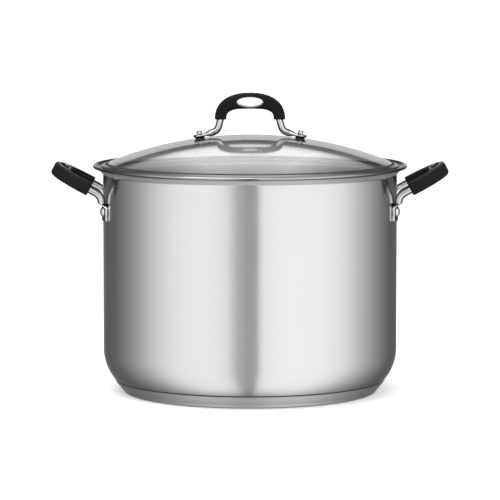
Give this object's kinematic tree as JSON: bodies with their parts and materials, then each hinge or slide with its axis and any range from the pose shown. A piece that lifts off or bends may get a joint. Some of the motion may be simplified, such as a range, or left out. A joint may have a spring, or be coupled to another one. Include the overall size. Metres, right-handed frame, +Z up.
{
  "type": "water bath canner",
  "caption": "Tall riveted stainless pot with a domed glass lid, black-gripped loop handles, an encapsulated base and a lift-out wire jar rack with folding bails.",
  "frame": {"origin": "centre of the base underside, on the surface the pot stands on", "axes": "+X through the right side handle, +Y to the back, +Z up along the pot's axis"},
  "size_m": [0.4372, 0.344, 0.3278],
  "materials": {
    "satin_steel": "circumferentially brushed satin",
    "core_aluminium": "as rolled",
    "polished_steel": "mirror polished",
    "black_grip": "fine grained soft touch",
    "lid_glass": "clear tempered",
    "black_rubber": "matt",
    "rack_wire": "bright drawn wire"
  },
  "bodies": {
    "pot": {"pot_shell": "satin_steel", "base_core": "core_aluminium", "base_cap": "satin_steel", "left_handle_frame": "polished_steel", "left_handle_grip": "black_grip", "left_grip_ring": "polished_steel", "left_handle_rivets": "polished_steel", "right_handle_frame": "polished_steel", "right_handle_grip": "black_grip", "right_grip_ring": "polished_steel", "right_handle_rivets": "polished_steel"},
    "rack": {"rack_base_ring": "rack_wire", "rack_floor_grid": "rack_wire", "rack_uprights": "rack_wire", "rack_top_ring": "rack_wire", "rack_cell_ring": "rack_wire", "rack_dividers": "rack_wire", "rack_bail_eyes": "rack_wire"},
    "left_bail": {"left_rack_bail": "rack_wire"},
    "right_bail": {"right_rack_bail": "rack_wire"},
    "lid": {"lid_glass": "lid_glass", "lid_rim_band": "polished_steel", "lid_handle_frame": "polished_steel", "lid_handle_grip": "black_grip", "lid_grip_ring": "polished_steel", "lid_handle_nuts": "polished_steel", "lid_handle_screws": "polished_steel", "lid_handle_gaskets": "black_rubber", "lid_handle_bushes": "black_rubber", "vent_grommet": "polished_steel"}
  },
  "joints": [
    {"name": "rack_lift", "type": "slide", "parent": "pot", "child": "rack", "axis": [0, 0, 1], "range_m": [0, 0.26]},
    {"name": "lid_lift", "type": "slide", "parent": "rack", "child": "lid", "axis": [0, 0, 1], "range_m": [0, 0.22]},
    {"name": "left_bail_hinge", "type": "hinge", "parent": "rack", "child": "left_bail", "pos_m": [-0.139, 0, 0.1143], "axis": [0, -1, 0], "range_deg": [0, 90]},
    {"name": "right_bail_hinge", "type": "hinge", "parent": "rack", "child": "right_bail", "pos_m": [0.139, 0, 0.1143], "axis": [0, 1, 0], "range_deg": [0, 90]}
  ]
}
